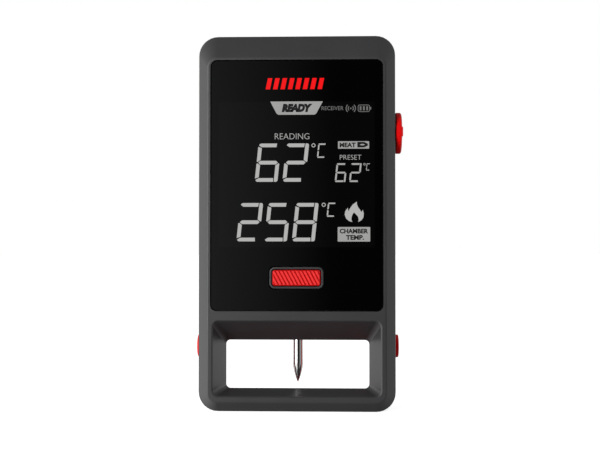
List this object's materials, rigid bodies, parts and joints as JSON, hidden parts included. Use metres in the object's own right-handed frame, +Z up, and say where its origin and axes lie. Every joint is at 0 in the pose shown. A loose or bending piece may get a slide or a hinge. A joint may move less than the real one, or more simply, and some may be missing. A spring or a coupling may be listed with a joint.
{
  "type": "meat thermometer",
  "caption": "Handheld meat thermometer base with a glass readout, push button, side dial, folding bail and a stored pointed probe seen through a lower window.",
  "frame": {"origin": "on the flat underside of the housing, midway across its width and half way through its thickness", "axes": "+Z up the housing, the readout faces -Y, and the dial is on the +X wall"},
  "size_m": [0.0809, 0.0253, 0.145],
  "materials": {
    "housing_plastic": "fine matt texture",
    "black_glass": "polished, black behind",
    "red_plastic": "satin",
    "polished_steel": "mirror polished",
    "steel": "plain",
    "black_ceramic": "semi-gloss",
    "black_plastic": "matt",
    "light_guide": "clear moulding",
    "black_rubber": "matt",
    "film": "flexible film",
    "board": "solder mask",
    "white_ceramic": "matt",
    "foil": "foil pouch",
    "gilt": "plated"
  },
  "bodies": {
    "base": {"front_housing": "housing_plastic", "rear_housing": "housing_plastic", "display_glass": "black_glass", "glass_adhesive": "black_plastic", "lcd_panel": "black_plastic", "lcd_backlight": "light_guide", "lcd_frame": "black_plastic", "lcd_ribbon": "film", "button_bezel": "housing_plastic", "button_switch": "black_plastic", "encoder_body": "steel", "dial_seal": "black_rubber", "stand_washer_left": "black_plastic", "stand_washer_right": "black_plastic", "probe_sleeve": "black_plastic", "dock_contact_lower": "gilt", "dock_contact_upper": "gilt", "sleeve_seal_lower": "black_rubber", "sleeve_seal_upper": "black_rubber", "main_board": "board", "radio_shield": "steel", "processor_chip": "black_plastic", "antenna": "white_ceramic", "buzzer": "black_plastic", "battery_cell": "foil", "battery_pad": "black_rubber", "charge_port": "steel", "charge_board": "board", "housing_screw_upper_left": "steel", "board_screw_upper_left": "steel", "housing_screw_upper_right": "steel", "board_screw_upper_right": "steel", "housing_screw_lower_left": "steel", "board_screw_lower_left": "steel", "housing_screw_lower_right": "steel", "board_screw_lower_right": "steel"},
    "button": {"front_button": "red_plastic"},
    "dial_carrier": {"dial_plunger": "black_plastic"},
    "dial": {"dial_knob": "red_plastic", "dial_shaft": "steel"},
    "bail": {"stand_bail": "red_plastic", "stand_cap_left": "red_plastic", "stand_cap_right": "red_plastic"},
    "probe": {"probe_shaft": "polished_steel", "probe_collar": "steel", "probe_handle": "black_ceramic", "probe_cap": "steel"}
  },
  "joints": [
    {"name": "button_press", "type": "slide", "parent": "base", "child": "button", "axis": [0, 1, 0], "range_m": [0, 0.0008], "stiffness_N_per_m": 1500, "springref_m": -0.0003},
    {"name": "dial_push", "type": "slide", "parent": "base", "child": "dial_carrier", "axis": [-1, 0, 0], "range_m": [0, 0.0005], "stiffness_N_per_m": 3000, "springref_m": -0.0002},
    {"name": "dial_turn", "type": "hinge", "parent": "dial_carrier", "child": "dial", "pos_m": [0.038, 0, 0.10805], "axis": [1, 0, 0], "continuous": true},
    {"name": "stand_fold", "type": "hinge", "parent": "base", "child": "bail", "pos_m": [0, 0.0047, 0.0241], "axis": [1, 0, 0], "range_deg": [0, 100]},
    {"name": "probe_pull", "type": "slide", "parent": "base", "child": "probe", "axis": [0, 0, 1], "range_m": [0, 0.138]}
  ]
}
